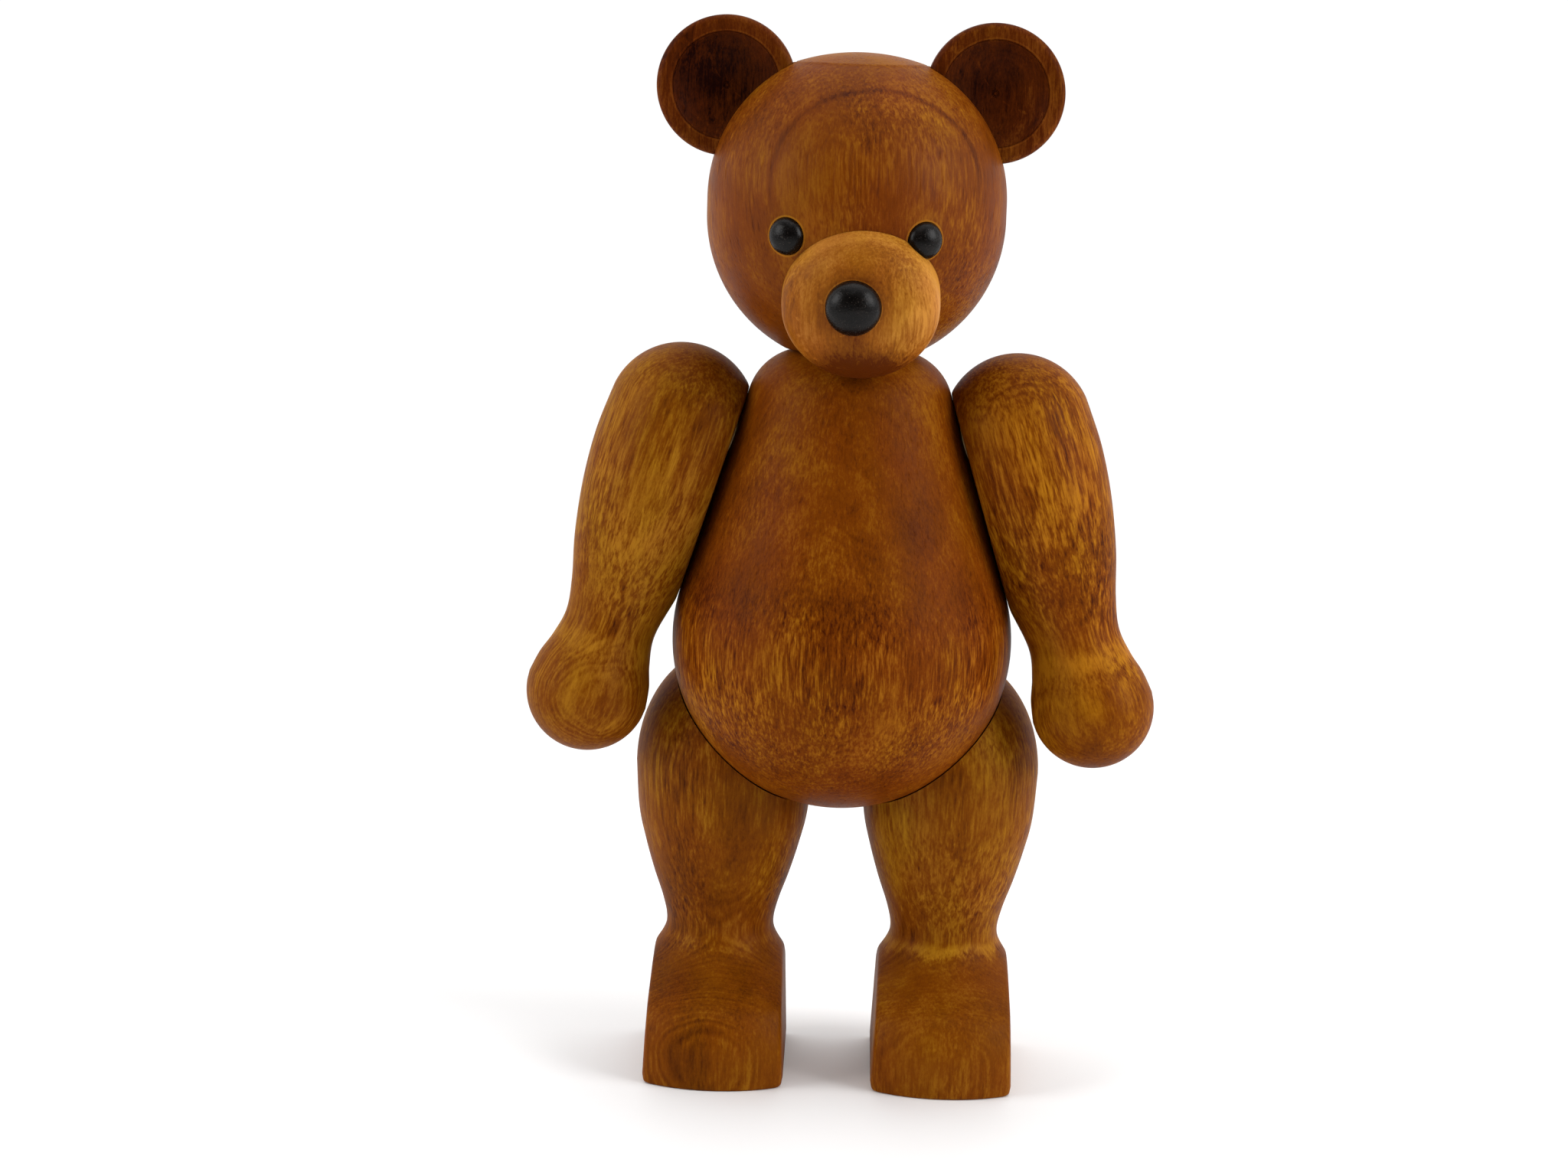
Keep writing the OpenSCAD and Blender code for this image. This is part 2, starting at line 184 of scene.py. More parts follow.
def ear_outline():
    """A disc with a rounded rim and a dished front, and the turning centre left in the dish."""
    half = EAR_T / 2
    dish = (EAR_DISH_R ** 2 + EAR_DISH_DEPTH ** 2) / (2 * EAR_DISH_DEPTH)
    dish_z = half - EAR_DISH_DEPTH + dish
    edge = math.degrees(math.asin(EAR_DISH_R / dish))
    inner = EAR_R - EAR_RIM
    back = line((0, -half), (inner, -half), 8)
    bowl = [(r, z) for r, z in arc(0, dish_z, dish, dish, -90 + edge, -90, 30) if r > 0.62]
    lip = arc(EAR_DISH_R + 0.02, half - 0.16, 0.16, 0.16, 90, 190, 6)
    floor_z = half - EAR_DISH_DEPTH
    centre = [(0.50, floor_z + 0.02), (0.40, floor_z - 0.10), (0.22, floor_z - 0.12),
              (0.12, floor_z + 0.04), (0, floor_z + 0.07)]
    return (back + arc(inner, -half + EAR_RIM, EAR_RIM, EAR_RIM, -90, 0, 10)
            + arc(inner, half - EAR_RIM, EAR_RIM, EAR_RIM, 0, 90, 10)
            + line((inner - 0.1, half), (EAR_DISH_R + 0.1, half), 4)
            + lip + bowl[1:] + centre)


def muzzle_outline():
    rim = 0.22
    dome = arc(0, 0, MUZZLE_R, MUZZLE_H, 6, 90, 60)
    return (line((0, -MUZZLE_SUNK), (MUZZLE_R, -MUZZLE_SUNK), 6)
            + line((MUZZLE_R, -MUZZLE_SUNK), (MUZZLE_R, -rim), 6)
            + arc(MUZZLE_R - rim, -rim, rim, rim, 0, 30, 3)[1:] + dome)


def bead_outline(radius, proud, back):
    """A domed peg with a softened edge where the dome meets the sides."""
    soft = 0.12
    return (line((0, back), (radius, back), 4) + line((radius, back), (radius, -soft), 6)
            + arc(0, -soft, radius, proud + soft, 0, 90, 36))


def arm_outline():
    side = [(HAND_R, -ARM_LEN), (6.5, 2.4 - ARM_LEN), (5.7, -27.6), (5.2, -24.6), (5.8, -21),
            (7.15, -16), (ARM_R - 0.2, -10), (ARM_R + 0.2, -4.5), (ARM_R, 0)]
    hand = arc(0, -ARM_LEN, HAND_R, HAND_R, -90, -9, 36)
    dome = arc(0, 0, ARM_R, ARM_R, 9, 90, 36)
    return hand + curve(side, 14) + dome


def leg_outline():
    edge = 0.35
    side = [(TOE_REACH - 0.15, 0.9), (TOE_REACH, 2.5), (TOE_REACH - 0.1, 5.5), (13.6, 8.6),
            (10.6, 10.8), (8, 12.8), (6.55, 14.8), (ANKLE_R, 16.5), (6.75, 19), (7.85, 22.2),
            (8.9, 25.8), (9.75, 29.6), (THIGH_R, THIGH_Z)]
    toe = arc(TOE_REACH - 0.22 - edge, edge, edge, edge, -90, -4, 6)
    return (line((0, 0), toe[0], 26) + toe + curve(side, 12)
            + arc(0, THIGH_Z, THIGH_R, THIGH_DOME, 4, 90, 44))


# ---- Meshes ----
def turned(outline, places, around=256, shape=None):
    """Mesh data of an outline turned about Z, moved to its place and brought to metres.
    shape(x, y, z), if given, moves each point."""
    bm = bmesh.new()
    rows = []
    for r, z in outline:
        if r < 1e-6:
            rows.append([bm.verts.new(shape(0, 0, z) if shape else (0, 0, z))])
            continue
        row = []
        for k in range(around):
            a = 2 * math.pi * k / around
            p = (r * math.cos(a), r * math.sin(a), z)
            row.append(bm.verts.new(shape(*p) if shape else p))
        rows.append(row)
    for low, high in zip(rows, rows[1:]):
        for k in range(around):
            n = (k + 1) % around
            if len(low) == 1:
                bm.faces.new((low[0], high[n], high[k]))
            elif len(high) == 1:
                bm.faces.new((low[k], low[n], high[0]))
            else:
                bm.faces.new((low[k], low[n], high[n], high[k]))
    flips = places.determinant() < 0
    bmesh.ops.transform(bm, matrix=Matrix.Scale(MM, 4) @ places, verts=bm.verts)
    if flips:
        bmesh.ops.reverse_faces(bm, faces=bm.faces)
    mesh = bpy.data.meshes.new("turned")
    bm.to_mesh(mesh)
    bm.free()
    return mesh


def rod(radius, start, stop, places, chamfer=0.0, around=128):
    """A cutter along Z. A chamfer widens it towards stop, to break the edge of a hole at z = 0."""
    outline = [(0, start), (radius, start)]
    if chamfer:
        outline += [(radius, -chamfer), (radius + chamfer, 0), (radius + chamfer + stop, stop)]
        outline += [(0, stop)]
    else:
        outline += [(radius, stop), (0, stop)]
    return turned(outline, places, around)


def new_object(name, mesh):
    obj = bpy.data.objects.new(name, mesh)
    bpy.context.scene.collection.objects.link(obj)
    return obj


def cut(obj, cutters):
    """Takes the cutter meshes away from obj, exactly, one after another."""
    for mesh in cutters:
        tool = new_object("cutter", mesh)
        mod = obj.modifiers.new("cut", "BOOLEAN")
        mod.operation = "DIFFERENCE"
        mod.solver = "EXACT"
        mod.object = tool
        done = bpy.data.meshes.new_from_object(
            obj.evaluated_get(bpy.context.evaluated_depsgraph_get()))
        obj.modifiers.clear()
        obj.data = done
        bpy.data.objects.remove(tool)


def piece(name, mesh, body, stands_for, material, cutters=()):
    obj = new_object(name, mesh)
    cut(obj, cutters)
    obj.data.name = name
    obj.data.materials.clear()
    obj.data.materials.append(material)
    for face in obj.data.polygons:
        face.use_smooth = True
        face.material_index = 0
    obj.data.set_sharp_from_angle(angle=math.radians(SHARP_DEGREES))
    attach(obj, body)
    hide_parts(stands_for)
    return obj


def arm_shape(x, y, z):
    """Saws the arm flat on its inner side, above the wrist, with a slightly eased edge.
    The elastic pulls it in until it all but touches the body."""
    if z < -ARM_FLAT_END or x >= 0:
        return (x, y, z)
    s = (1 + (-x / (ARM_FLAT + JOINT_GAP - ARM_TOUCH)) ** FLAT_POWER) ** (-1 / FLAT_POWER)
    return (x * s, y * s, z)


def foot_shape(x, y, z):
    """Saws the foot flat on both sides and behind, with eased edges."""
    if z > FOOT_CUT_Z:
        return (x, y, z)
    ease = 0.35
    lift = ease - math.sqrt(max(ease ** 2 - max(ease - z, 0) ** 2, 0))
    side = FOOT_HALF - z * math.tan(math.radians(FOOT_SLOPE))
    reach = math.hypot(x, y)
    if reach == 0:
        return (x, y, z)
    full = TOE_REACH if z < ease else reach
    part = reach / full
    fx, fy = x / part, y / part
    total = 1 + (abs(fx) / (side - lift)) ** FOOT_POWER
    if y > 0:
        total += (fy / (HEEL_REACH - lift)) ** FOOT_POWER
    s = total ** (-1 / FOOT_POWER)
    return (x * s, y * s, z)


# ---- Materials ----
class Net:
    """Builds one material's nodes."""

    def __init__(self, name):
        self.material = bpy.data.materials.new(name)
        self.material.use_nodes = True
        self.tree = self.material.node_tree
        self.tree.nodes.clear()
        self.out = self.tree.nodes.new("ShaderNodeOutputMaterial")
        self.shader = self.tree.nodes.new("ShaderNodeBsdfPrincipled")
        self.tree.links.new(self.shader.outputs[0], self.out.inputs[0])

    def put(self, socket, value):
        if isinstance(value, bpy.types.NodeSocket):
            self.tree.links.new(value, socket)
        elif value is not None:
            socket.default_value = value

    def node(self, kind, inputs=(), **settings):
        made = self.tree.nodes.new(kind)
        for key, value in settings.items():
            setattr(made, key, value)
        for key, value in dict(inputs).items():
            self.put(made.inputs[key], value)
        return made

    def math(self, operation, a, b=None, c=None, clamp=False):
        made = self.node("ShaderNodeMath", operation=operation, use_clamp=clamp)
        for socket, value in zip(made.inputs, (a, b, c)):
            self.put(socket, value)
        return made.outputs[0]

    def local(self, places):
        """The piece's own coordinates, in millimetres."""
        loc, rot, _ = (Matrix.Scale(MM, 4) @ places).decompose()
        coords = self.node("ShaderNodeTexCoord").outputs["Object"]
        return self.node("ShaderNodeMapping", {
            "Vector": coords, "Location": loc, "Rotation": rot.to_euler(),
            "Scale": (MM, MM, MM)}, vector_type="TEXTURE").outputs[0]

    def scaled(self, vector, scale, move=(0, 0, 0)):
        return self.node("ShaderNodeMapping", {
            "Vector": vector, "Scale": scale, "Location": move}).outputs[0]

    def noise(self, vector, scale, move=(0, 0, 0), detail=2.0, rough=0.5, distortion=0.0):
        return self.node("ShaderNodeTexNoise", {
            "Vector": self.scaled(vector, scale, move), "Scale": 1.0, "Detail": detail,
            "Roughness": rough, "Distortion": distortion}).outputs[0]

    def noise_1d(self, value, detail=2.0, rough=0.5):
        return self.node("ShaderNodeTexNoise", {
            "W": value, "Scale": 1.0, "Detail": detail, "Roughness": rough},
            noise_dimensions="1D").outputs[0]

    def ramp(self, value, stops, smooth=False):
        made = self.node("ShaderNodeValToRGB", {"Fac": value})
        made.color_ramp.interpolation = "EASE" if smooth else "LINEAR"
        elements = made.color_ramp.elements
        while len(elements) < len(stops):
            elements.new(0.5)
        for element, (position, colour) in zip(elements, stops):
            element.position = position
            if isinstance(colour, (int, float)):
                colour = (colour, colour, colour)
            element.color = (*colour, 1)
        return made.outputs[0]

    def span(self, value, low, high, to_low=0.0, to_high=1.0):
        return self.node("ShaderNodeMapRange", {
            "Value": value, "From Min": low, "From Max": high,
            "To Min": to_low, "To Max": to_high}).outputs[0]

    def distance(self, vector):
        """How far a point is from the Z axis."""
        xyz = self.node("ShaderNodeSeparateXYZ", {"Vector": vector}).outputs
        return self.math("SQRT", self.math("ADD", self.math("MULTIPLY", xyz[0], xyz[0]),
                                           self.math("MULTIPLY", xyz[1], xyz[1])))

    def height(self, vector, axis=2):
        return self.node("ShaderNodeSeparateXYZ", {"Vector": vector}).outputs[axis]

    def mix(self, factor, a, b, blend="MIX"):
        made = self.node("ShaderNodeMix", data_type="RGBA", blend_type=blend)
        self.put(made.inputs[0], factor)
        self.put(made.inputs[6], a if isinstance(a, bpy.types.NodeSocket) else (*a, 1))
        self.put(made.inputs[7], b if isinstance(b, bpy.types.NodeSocket) else (*b, 1))
        return made.outputs[2]


STAIN = ((0.046, 0.0062, 0.0002), (0.165, 0.036, 0.0006), (0.36, 0.130, 0.006))
LIMB_STAIN = ((0.050, 0.0090, 0.0002), (0.175, 0.045, 0.0007), (0.36, 0.150, 0.008))
RED_LIMB_STAIN = ((0.050, 0.0080, 0.0002), (0.180, 0.042, 0.0006), (0.40, 0.148, 0.006))
EAR_STAIN = ((0.010, 0.0010, 0.0002), (0.082, 0.0145, 0.0006), (0.24, 0.070, 0.006))
MUZZLE_STAIN = ((0.090, 0.016, 0.0004), (0.27, 0.080, 0.0045), (0.52, 0.215, 0.030))
BEECH = ((0.42, 0.24, 0.11), (0.62, 0.42, 0.22), (0.74, 0.56, 0.34))


def wood(name, places, seed, tree, colours=STAIN, tone=0.5, gap=2.6, across=False, rough=0.48,
         zones=None, grain=None, figure=None, bands=(), rings=(), layers=(), caps=(),
         fibre=1.0, fine=1.0, streak=1.0, pore=1.0, grit=1.0, wear=1.0, coat=1.0):
    """Stained, satin-finished turned wood. In the piece's own coordinates the grain runs along Z,
    or along Y with across. Lengths are in millimetres and strengths are added to the tone.

    seed: which part of the wood this is. tree: where the middle of the trunk lies.
    tone: 0 dark to 1 light. gap: between growth layers. zones: (height, change of tone) pairs.
    grain, figure: (height, strength) pairs for the fibres and for the growth layers.
    bands: (height, half width, strength) round the piece.
    rings: (place, radius, half width, strength) round a fitted piece.
    layers: (depth, half width, strength) of single growth layers at that distance from the middle
    of the trunk, on the upper side only. caps: (place, radius, edge, strength) of round patches.
    fibre, fine, streak, pore, grit, wear: how strong the fibres, growth layers, long streaks,
    pores, small specks and rubbed edges are. coat: how much the finish reflects."""
    n = Net(name)
    p = n.local(places)
    if across:
        p = n.node("ShaderNodeMapping", {"Vector": p, "Rotation": (math.pi / 2, 0, 0)}).outputs[0]
    move = (seed * 7.31, seed * 3.17, seed * 5.23)

    # Growth layers: cylinders round the middle of the trunk, slightly wavy
    wander = n.noise(p, (0.07, 0.07, 0.022), move, 2.0)
    trunk = n.node("ShaderNodeMapping", {"Vector": p, "Location": (-tree[0], -tree[1], 0)})
    depth = n.math("ADD", n.distance(trunk.outputs[0]), n.math("MULTIPLY", wander, 5.0))
    coarse = n.noise_1d(n.math("MULTIPLY_ADD", depth, 1 / gap, seed * 1.7), 2.0, 0.6)
    thin = n.noise_1d(n.math("MULTIPLY_ADD", depth, 2.9, seed * 2.3), 1.0, 0.6)

    # Fibres, pores and the mottled figure of maple
    fibres = n.noise(p, (3.3, 3.3, 0.30), move, 3.0, 0.62, 0.45)
    pores = n.ramp(n.noise(p, (3.4, 3.4, 0.30), move, 2.0, 0.5), [(0.58, 0.0), (0.70, 1.0)])
    flecks = n.noise(p, (1.5, 1.5, 0.55), move, 2.0, 0.6, 0.6)
    streaks = n.noise(p, (1.25, 1.25, 0.15), (seed * 5, seed, 0), 3.0, 0.6, 0.5)
    speckle = n.noise(p, (5.5, 5.5, 2.4), move, 2.0, 0.7)
    blotch = n.noise(p, (0.13, 0.13, 0.07), move, 2.0, 0.5)
    cloud = n.noise(p, (0.33, 0.33, 0.17), (seed, seed * 2, seed * 3), 2.0, 0.5)

    # Growth layers fade in and out
    layer_show = n.ramp(n.noise(p, (0.09, 0.09, 0.09), (seed * 2, 0, seed), 1.0),
                        [(0.38, 0.35), (0.60, 1.0)])
    streak_show = n.ramp(n.noise(p, (0.11, 0.11, 0.05), (0, seed, seed * 4), 1.0),
                         [(0.36, 0.45), (0.62, 1.25)])

    def add(total, value, amount, show=None):
        change = n.math("MULTIPLY", n.math("SUBTRACT", value, 0.5), amount)
        return n.math("ADD", total, change if show is None else n.math("MULTIPLY", change, show))

    def add_near(total, away, half, strength, where=None):
        near = n.ramp(n.span(away, 0, half), [(0.0, 1.0), (1.0, 0.0)], smooth=True)
        if where is not None:
            near = n.math("MULTIPLY", near, where)
        return n.math("ADD", total, n.math("MULTIPLY", near, strength))

    def zone_of(height, pairs):
        low, high = pairs[0][0], pairs[-1][0]
        stops = [((h - low) / (high - low), value) for h, value in pairs]
        return n.ramp(n.span(height, low, high), stops, smooth=True)

    z = n.height(n.local(places))
    if grain:
        streak_show = n.math("MULTIPLY", streak_show, zone_of(z, grain))
    if figure:
        layer_show = n.math("MULTIPLY", layer_show, zone_of(z, figure))
    tone_now = n.math("ADD", tone, 0.0)
    tone_now = add(tone_now, blotch, 0.52)
    tone_now = add(tone_now, cloud, 0.30)
    tone_now = add(tone_now, coarse, 0.16 * fine, layer_show)
    tone_now = add(tone_now, thin, 0.50 * fine, layer_show)
    tone_now = add(tone_now, fibres, 1.05 * fibre, streak_show)
    tone_now = add(tone_now, streaks, 0.40 * streak, streak_show)
    tone_now = add(tone_now, flecks, 0.22 * grit)
    tone_now = add(tone_now, speckle, 0.34 * grit)
    tone_now = n.math("SUBTRACT", tone_now, n.math("MULTIPLY", pores, 0.16 * pore))

    # The single layers wander less. Their wander is 0.6 on average.
    smooth_depth = n.math("ADD", n.distance(trunk.outputs[0]), n.math("MULTIPLY", wander, 1.2))
    for middle, half, strength in layers:
        away = n.math("ABSOLUTE", n.math("SUBTRACT", smooth_depth, middle + 0.6))
        tone_now = add_near(tone_now, away, half, strength, n.span(z, -5, 5))

    if zones:
        zone = zone_of(add(z, cloud, 4.0), [(h, 0.5 + t) for h, t in zones])
        tone_now = n.math("ADD", tone_now, n.math("SUBTRACT", zone, 0.5))
    for middle, half, strength in bands:
        ragged = add(add(z, cloud, 2.4), fibres, 1.2)
        away = n.math("ABSOLUTE", n.math("SUBTRACT", ragged, middle))
        tone_now = add_near(tone_now, away, half, strength)
    # Rings and caps mark the surface near their place, not the far side of the piece
    for where, radius, half, strength in rings:
        spot = n.local(where)
        away = n.math("ABSOLUTE", n.math("SUBTRACT", n.distance(spot), radius))
        tone_now = add_near(tone_now, away, half, strength, n.span(n.height(spot), -2.5, -1.5))
    for where, radius, edge, strength in caps:
        spot = n.local(where)
        inside = n.span(n.distance(spot), radius, radius - edge)
        inside = n.math("MULTIPLY", inside, n.span(n.height(spot), -2.5, -1.5))
        tone_now = n.math("ADD", tone_now, n.math("MULTIPLY", inside, strength))

    # Wear: raised edges rubbed light. Hollows darker, partly from stain held there and partly
    # painted shade
    point = n.node("ShaderNodeNewGeometry").outputs["Pointiness"]
    worn = n.ramp(point, [(0.515, 0.0), (0.60, 1.0)])
    hollow_stain_and_shade = n.ramp(point, [(0.42, 1.0), (0.485, 0.0)])
    tone_now = n.math("ADD", tone_now, n.math(
        "MULTIPLY", worn, n.math("MULTIPLY_ADD", speckle, 0.5 * wear, 0.10 * wear)))
    # Painted shade, with stain: hollows are made darker
    tone_now = n.math("SUBTRACT", tone_now, n.math("MULTIPLY", hollow_stain_and_shade, 0.30))

    dark, middle, light = colours
    colour = n.ramp(tone_now, [(0.10, dark), (0.48, middle), (0.90, light)])
    # The stain goes redder in some places and yellower in others
    warm = n.noise(p, (0.16, 0.16, 0.10), (seed * 3, seed, 0), 2.0)
    tint = n.ramp(warm, [
        (0.36, (1.0, 1.05, 0.80)), (0.50, (1.0, 1.0, 1.0)), (0.66, (1.0, 0.94, 1.2))])
    colour = n.mix(1.0, colour, tint, "MULTIPLY")

    n.put(n.shader.inputs["Base Color"], colour)
    gloss = add(add(rough, fibres, 0.24), cloud, 0.20)
    gloss = n.math("ADD", gloss, n.math("MULTIPLY", pores, 0.14), clamp=True)
    n.put(n.shader.inputs["Roughness"], gloss)
    n.put(n.shader.inputs["IOR"], 1.46)
    n.put(n.shader.inputs["Specular IOR Level"], 0.07 * coat)

    relief = n.math("MULTIPLY_ADD", fibres, 0.55, n.math("MULTIPLY", speckle, 0.45))
    relief = n.math("ADD", relief, n.math("MULTIPLY", thin, 0.30))
    relief = n.math("SUBTRACT", relief, n.math("MULTIPLY", pores, 0.60))
    # Faint marks of the turning tool run round the piece
    turning = n.noise_1d(n.math("MULTIPLY", z, 2.2), 2.0, 0.6)
    relief = n.math("ADD", relief, n.math("MULTIPLY", turning, 0.35))
    bump = n.node("ShaderNodeBump", {"Height": relief, "Strength": 0.55, "Distance": 0.00005})
    n.put(n.shader.inputs["Normal"], bump.outputs[0])
    return n.material


def black_bead(name, places, seed):
    """Satin black paint over a wooden bead, with fine dust and small rubbed marks."""
    n = Net(name)
    p = n.local(places)
    move = (seed * 4.1, seed * 2.7, seed)
    grit = n.noise(p, (5.0, 5.0, 5.0), move, 3.0, 0.7)
    smear = n.noise(p, (0.9, 1.4, 0.9), move, 2.0, 0.6, 0.5)
    dust = n.ramp(n.noise(p, (6.5, 6.5, 6.5), move, 1.0, 0.5), [(0.66, 0.0), (0.74, 1.0)])
    base = n.ramp(n.math("MULTIPLY_ADD", grit, 0.5, n.math("MULTIPLY", smear, 0.5)), [
        (0.30, (0.0012, 0.0008, 0.0006)), (0.52, (0.0030, 0.0020, 0.0016)),
        (0.75, (0.012, 0.0085, 0.007))])
    colour = n.mix(n.math("MULTIPLY", dust, 0.35), base, (0.10, 0.08, 0.065))
    n.put(n.shader.inputs["Base Color"], colour)
    gloss = n.math("ADD", 0.15, n.math("MULTIPLY", smear, 0.20))
    gloss = n.math("ADD", gloss, n.math("MULTIPLY", dust, 0.25), clamp=True)
    n.put(n.shader.inputs["Roughness"], gloss)
    n.put(n.shader.inputs["Specular IOR Level"], 0.15)
    relief = n.math("MULTIPLY_ADD", smear, 0.8, n.math("MULTIPLY", grit, 0.5))
    bump = n.node("ShaderNodeBump", {"Height": relief, "Strength": 0.6, "Distance": 0.00008})
    n.put(n.shader.inputs["Normal"], bump.outputs[0])
    return n.material


def elastic(name):
    """Off-white elastic cord: a fine braided cover of slanting ribs."""
    n = Net(name)
    p = n.local(AT_AXIS)
    weave = n.node("ShaderNodeTexWave", {
        "Vector": p, "Scale": 1.1, "Distortion": 1.5, "Detail": 2.0, "Detail Scale": 2.0},
        bands_direction="DIAGONAL").outputs[1]
    cross = n.node("ShaderNodeTexWave", {
        "Vector": n.scaled(p, (-1, 1, 1)), "Scale": 1.1, "Distortion": 1.5},
        bands_direction="DIAGONAL").outputs[1]
    braid = n.math("MAXIMUM", weave, cross)
    fuzz = n.noise(p, (6, 6, 6), (0, 0, 0), 3.0, 0.7)
    n.put(n.shader.inputs["Base Color"], n.ramp(
        n.math("MULTIPLY_ADD", fuzz, 0.4, n.math("MULTIPLY", braid, 0.6)),
        [(0.2, (0.36, 0.33, 0.27)), (0.8, (0.80, 0.77, 0.69))]))
    n.put(n.shader.inputs["Roughness"], n.math("MULTIPLY_ADD", fuzz, 0.2, 0.65))
    bump = n.node("ShaderNodeBump", {"Height": braid, "Strength": 0.7, "Distance": 0.0001})
    n.put(n.shader.inputs["Normal"], bump.outputs[0])
    return n.material


# ---- The pieces ----
SIDES = (("left", 1), ("right", -1))


def side_of(matrix, side):
    return matrix if side > 0 else MIRROR @ matrix


def unmirrored(matrix, side):
    """A piece's own place, turned not mirrored, for its grain."""
    if side > 0:
        return matrix
    return MIRROR @ matrix @ MIRROR


body_wood = wood(
    "body_wood", AT_AXIS, 1.0, (3, 46), tone=0.47, gap=3.0, fibre=1.3, fine=0.35, pore=0.5,
    streak=1.1, wear=0.2, coat=0.5,
    grain=[(30, 0.3), (37, 0.55), (43, 0.9), (48, 1.25), (54, 1.0), (60, 0.45), (84, 0.30)],
    zones=[(30, -0.03), (37, 0.0), (45, 0.08), (51, 0.05), (57, -0.09), (64, -0.04), (74, 0.01),
           (84, 0.07)])
body_holes = [rod(PEG_D / 2 + PEG_GAP, SHOULDER_MID_Z, NECK_Z + 1, AT_AXIS)]
for _, s in SIDES:
    body_holes.append(rod(PEG_D / 2 + PEG_GAP, 4, 40, side_of(AT_SHOULDER_PEG, s)))
    body_holes.append(rod(PEG_D / 2 + PEG_GAP, 4, 40, side_of(AT_HIP_PEG, s)))
piece("body_turned", turned(body_outline(), AT_AXIS, 288), "torso", "body",
      body_wood, body_holes)

# The growth layers of the head face up and a little to its left, with a strong one on the forehead.
HEAD_GRAIN = AT_AXIS @ shift(0, 0, HEAD_LOW_Z + 1) @ spin("Z", 9) @ spin("X", -12)
head_wood = wood(
    "head_wood", HEAD_GRAIN, 2.0, (0, 38), tone=0.50, gap=3.6, fibre=0.8, fine=0.22, streak=0.7,
    zones=[(-16, 0.0), (-9, -0.02), (-1, 0.0), (7, -0.02), (18, 0.04)],
    layers=[(51.5, 0.40, -0.17), (52.4, 0.9, 0.06)], pore=0.6,
    rings=[(AT_EYE, EYE_STAIN_R, 0.20, 0.42), (unmirrored(AT_EYE, -1), EYE_STAIN_R, 0.20, 0.42)],
    # The cap paints the flatter crown lighter: a painted highlight from the lamp above
    caps=[(AT_AXIS @ shift(0, 0, 114), CROWN_RING_R, 0.5, 0.10)], wear=0.0, grit=0.5)
head_cuts = [
    rod(MUZZLE_R + GLUE_GAP, -MUZZLE_SUNK - GLUE_GAP, 30, AT_MUZZLE),
    rod(PEG_D / 2 + GLUE_GAP, NECK_Z - 1, NECK_Z + 11, AT_AXIS)]
for _, s in SIDES:
    head_cuts.append(rod(EAR_R + GLUE_GAP, -EAR_T / 2 - GLUE_GAP, EAR_T / 2 + GLUE_GAP,
                         side_of(AT_EAR, s), around=192))
    head_cuts.append(rod(EYE_D / 2 + GLUE_GAP, -5, 1.5, side_of(AT_EYE, s), chamfer=EYE_HOLE_EDGE))
piece("head_turned", turned(head_outline(), AT_AXIS, 288), "head_body", "head",
      head_wood, head_cuts)

for side, s in SIDES:
    ear_place = unmirrored(AT_EAR, s)
    ear_wood = wood(
        f"ear_wood_{side}", ear_place, 3.0 + s * 0.4, (4 * s, 30), colours=EAR_STAIN,
        tone=0.57, gap=2.2, fine=0.5, fibre=0.6, across=True, pore=0.4, wear=0.35, coat=0.5,
        rings=[(ear_place, EAR_DISH_R + 0.05, 0.14, 0.12)],
        # These caps paint shade in the dished front, darkest off centre where the hollow is shaded
        caps=[(ear_place, EAR_DISH_R, 0.25, -0.14),
              (ear_place @ shift(-2.5 - s, 1 - s, 0), 7.0, 5.5, -0.25 + 0.05 * s)])
    piece(f"ear_turned_{side}", turned(ear_outline(), side_of(AT_EAR, s), 224), "head_body",
          f"ear_{side}", ear_wood)
    eye_outline = bead_outline(EYE_D / 2, EYE_PROUD, -EYE_LONG)
    piece(f"eye_bead_{side}", turned(eye_outline, side_of(AT_EYE, s), 96), "head_body",
          f"eye_{side}",
          black_bead(f"eye_black_{side}", unmirrored(AT_EYE, s), 5 + s),
          [rod(MUZZLE_R + GLUE_GAP, -MUZZLE_SUNK, 5, AT_MUZZLE)])

muzzle_wood = wood(
    "muzzle_wood", AT_MUZZLE, 4.0, (-14, 30), colours=MUZZLE_STAIN, tone=0.54, gap=2.4,
    fibre=0.9, fine=0.35, across=True, pore=0.4, wear=0.4, streak=0.6,
    # The last ring paints the muzzle's rim lighter: a painted highlight where the rim catches light
    rings=[(AT_NOSE, 2.6, 3.0, -0.22), (AT_NOSE, 3.06, 0.12, 0.22),
           (AT_MUZZLE, MUZZLE_R, 0.4, 0.18)],
    # Painted shade under the muzzle and on its -X side, and painted light on its +X side, where the
    # stronger lamp falls
    caps=[(AT_MUZZLE @ shift(0, -8.5, 0), 8.0, 6.0, -0.75),
          (AT_MUZZLE @ shift(7, 1, 0), 7, 7, 0.30), (AT_MUZZLE @ shift(-7, 1, 0), 5, 5, -0.16)])
piece("muzzle_turned", turned(muzzle_outline(), AT_MUZZLE, 256), "head_body", "muzzle",
      muzzle_wood, [rod(NOSE_D / 2 + GLUE_GAP, -NOSE_SINK, 8, AT_NOSE, chamfer=NOSE_HOLE_EDGE),
                    rod(DOWEL_D / 2 + GLUE_GAP, -MUZZLE_SUNK - 1, 0.5, AT_MUZZLE)])
piece("nose_bead", turned(bead_outline(NOSE_D / 2, NOSE_PROUD, -NOSE_SINK), AT_NOSE, 128),
      "head_body", "nose", black_bead("nose_black", AT_NOSE, 8))

